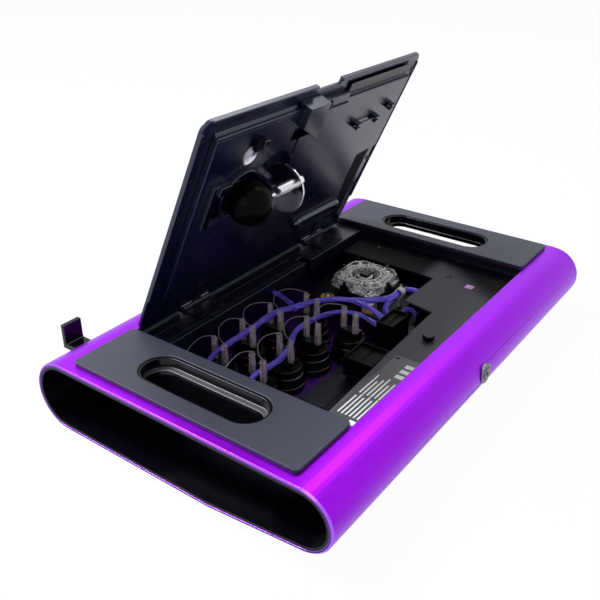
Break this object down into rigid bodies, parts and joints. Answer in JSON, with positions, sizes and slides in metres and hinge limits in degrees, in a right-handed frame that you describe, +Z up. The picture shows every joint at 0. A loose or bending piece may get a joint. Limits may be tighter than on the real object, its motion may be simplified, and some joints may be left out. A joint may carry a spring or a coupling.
{
  "type": "arcade fight stick",
  "caption": "Arcade fight stick lying on its buttons with the service cover swung open, showing the wired buttons, the lever unit and the spare lever clipped inside the cover",
  "frame": {"origin": "middle of the length and depth at the plane that the button plungers stand on, underside up", "axes": "+X along the body from the button end to the lever end, +Y from the front edge to the hinge edge, +Z up out of the underside"},
  "size_m": [0.431, 0.2968, 0.2503],
  "materials": {
    "anodised_purple": "anodised satin",
    "black_gloss": "gloss moulded",
    "black_satin": "satin moulded",
    "pad_grey": "matte rubber",
    "plate_grey": "satin powder coat",
    "label_grey": "printed film, bare",
    "cover_blue_black": "satin moulded",
    "steel": "plated",
    "chrome": "polished",
    "brass": "plain",
    "board": "solder mask",
    "sleeve": "soft vinyl",
    "ground_wire": "insulated wire",
    "loom_violet": "woven sleeve",
    "clear_plastic": "clear moulded",
    "liner_dark": "thin sheet"
  },
  "bodies": {
    "body": {"shell": "anodised_purple", "end_liner_near": "black_gloss", "end_liner_far": "black_gloss", "foot_pad_near": "pad_grey", "foot_pad_far": "pad_grey", "slot_grommet_near": "black_gloss", "slot_grommet_far": "black_gloss", "side_rails": "black_satin", "hinge_shelf": "black_satin", "front_plate": "plate_grey", "posts": "black_satin", "plate_screws": "steel", "label_panel": "label_grey", "cover_stud": "black_gloss", "floor_liner": "liner_dark", "button_housings": "black_gloss", "button_nuts": "black_satin", "button_switches": "black_satin", "quick_disconnects": "sleeve", "ground_wires": "ground_wire", "loom_back_row": "loom_violet", "loom_front_row": "loom_violet", "loom_lever": "loom_violet", "loom_branches": "loom_violet", "lever_base_plate": "black_satin", "lever_washers": "brass", "lever_screws": "steel", "lever_housing": "black_satin", "lever_switch_block": "black_satin", "lever_board": "board", "lever_gate": "clear_plastic", "lever_bezel": "black_satin", "main_board": "board", "board_connectors": "black_satin", "loom_clip": "clear_plastic", "usb_port": "black_gloss", "cord_cleats": "black_satin", "latch_bezel": "black_gloss", "latch_guide": "black_satin", "hinge_bases": "black_gloss", "hinge_pins": "steel"},
    "cover": {"cover_plate": "cover_blue_black", "cover_tray": "cover_blue_black", "cover_fittings": "cover_blue_black", "cover_screws": "steel", "lever_cradle": "cover_blue_black", "hinge_leaves": "black_gloss"},
    "stored_lever": {"ball_top": "black_gloss", "lever_shaft": "chrome"},
    "latch": {"latch_button": "black_gloss"},
    "lever_gimbal": {"lever_ring": "black_satin"},
    "lever_hub": {"lever_actuator": "black_gloss"},
    "button_1": {"plunger_1": "black_gloss"},
    "button_2": {"plunger_2": "black_gloss"},
    "button_3": {"plunger_3": "black_gloss"},
    "button_4": {"plunger_4": "black_gloss"},
    "button_5": {"plunger_5": "black_gloss"},
    "button_6": {"plunger_6": "black_gloss"},
    "button_7": {"plunger_7": "black_gloss"},
    "button_8": {"plunger_8": "black_gloss"}
  },
  "joints": [
    {"name": "cover_hinge", "type": "hinge", "parent": "body", "child": "cover", "pos_m": [0, 0.0895, 0.0635], "axis": [-1, 0, 0], "range_deg": [-65, 0]},
    {"name": "lever_lift", "type": "slide", "parent": "cover", "child": "stored_lever", "axis": [0, -0.9063, -0.4226], "range_m": [0, 0.06]},
    {"name": "latch_push", "type": "slide", "parent": "body", "child": "latch", "axis": [0, 1, 0], "range_m": [0, 0.003], "stiffness_N_per_m": 400},
    {"name": "lever_tilt_front", "type": "hinge", "parent": "body", "child": "lever_gimbal", "pos_m": [0.076, 0.0125, 0.02], "axis": [1, 0, 0], "range_deg": [-8, 8], "stiffness_Nm_per_rad": 0.5},
    {"name": "lever_tilt_side", "type": "hinge", "parent": "lever_gimbal", "child": "lever_hub", "pos_m": [0.076, 0.0125, 0.02], "axis": [0, 1, 0], "range_deg": [-8, 8], "stiffness_Nm_per_rad": 0.5},
    {"name": "button_press_1", "type": "slide", "parent": "body", "child": "button_1", "axis": [0, 0, 1], "range_m": [0, 0.003], "stiffness_N_per_m": 300},
    {"name": "button_press_2", "type": "slide", "parent": "body", "child": "button_2", "axis": [0, 0, 1], "range_m": [0, 0.003], "stiffness_N_per_m": 300},
    {"name": "button_press_3", "type": "slide", "parent": "body", "child": "button_3", "axis": [0, 0, 1], "range_m": [0, 0.003], "stiffness_N_per_m": 300},
    {"name": "button_press_4", "type": "slide", "parent": "body", "child": "button_4", "axis": [0, 0, 1], "range_m": [0, 0.003], "stiffness_N_per_m": 300},
    {"name": "button_press_5", "type": "slide", "parent": "body", "child": "button_5", "axis": [0, 0, 1], "range_m": [0, 0.003], "stiffness_N_per_m": 300},
    {"name": "button_press_6", "type": "slide", "parent": "body", "child": "button_6", "axis": [0, 0, 1], "range_m": [0, 0.003], "stiffness_N_per_m": 300},
    {"name": "button_press_7", "type": "slide", "parent": "body", "child": "button_7", "axis": [0, 0, 1], "range_m": [0, 0.003], "stiffness_N_per_m": 300},
    {"name": "button_press_8", "type": "slide", "parent": "body", "child": "button_8", "axis": [0, 0, 1], "range_m": [0, 0.003], "stiffness_N_per_m": 300}
  ]
}
